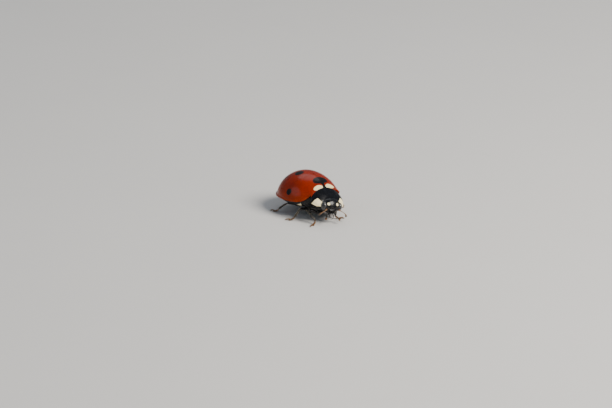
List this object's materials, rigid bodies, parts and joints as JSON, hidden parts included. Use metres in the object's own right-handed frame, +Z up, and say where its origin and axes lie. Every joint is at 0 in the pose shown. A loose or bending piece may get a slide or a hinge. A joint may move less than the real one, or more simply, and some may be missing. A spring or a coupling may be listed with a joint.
{
  "type": "ladybird",
  "caption": "Standing life-size seven-spot ladybird with closed glossy red wing cases, black spots, a black and white neck shield, short feelers and jointed black legs.",
  "frame": {"origin": "bottom centre of the standing beetle, on the floor under the middle of its body", "axes": "+Y from the head to the rear, +X to the beetle's left, +Z up"},
  "size_m": [0.0067, 0.0079, 0.0038],
  "materials": {
    "red_case": "glossy orange-red horn with black spots and two cream patches at the base",
    "black_plate": "glossy black horn with ivory patches at the front corners of the neck shield and beside the eyes",
    "black_belly": "satin black horn with a thin coat of short pale hairs",
    "black_limb": "satin black horn, golden brown towards the claws",
    "brown_feeler": "satin brown horn with a darker club",
    "eye": "glossy near-black compound eye with fine facets"
  },
  "bodies": {
    "root": {"pronotum": "black_plate", "scutellum": "black_plate", "head": "black_plate", "labrum": "black_plate", "wing_case_left": "red_case", "eye_left": "eye", "feeler_left": "brown_feeler", "palp_left": "brown_feeler", "wing_case_right": "red_case", "eye_right": "eye", "feeler_right": "brown_feeler", "palp_right": "brown_feeler", "prothorax": "black_belly", "thorax": "black_belly", "abdomen": "black_belly", "front_right_thigh": "black_limb", "front_right_shin": "black_limb", "front_right_foot": "black_limb", "front_left_thigh": "black_limb", "front_left_shin": "black_limb", "front_left_foot": "black_limb", "middle_right_thigh": "black_limb", "middle_right_shin": "black_limb", "middle_right_foot": "black_limb", "middle_left_thigh": "black_limb", "middle_left_shin": "black_limb", "middle_left_foot": "black_limb", "hind_right_thigh": "black_limb", "hind_right_shin": "black_limb", "hind_right_foot": "black_limb", "hind_left_thigh": "black_limb", "hind_left_shin": "black_limb", "hind_left_foot": "black_limb"}
  },
  "joints": []
}
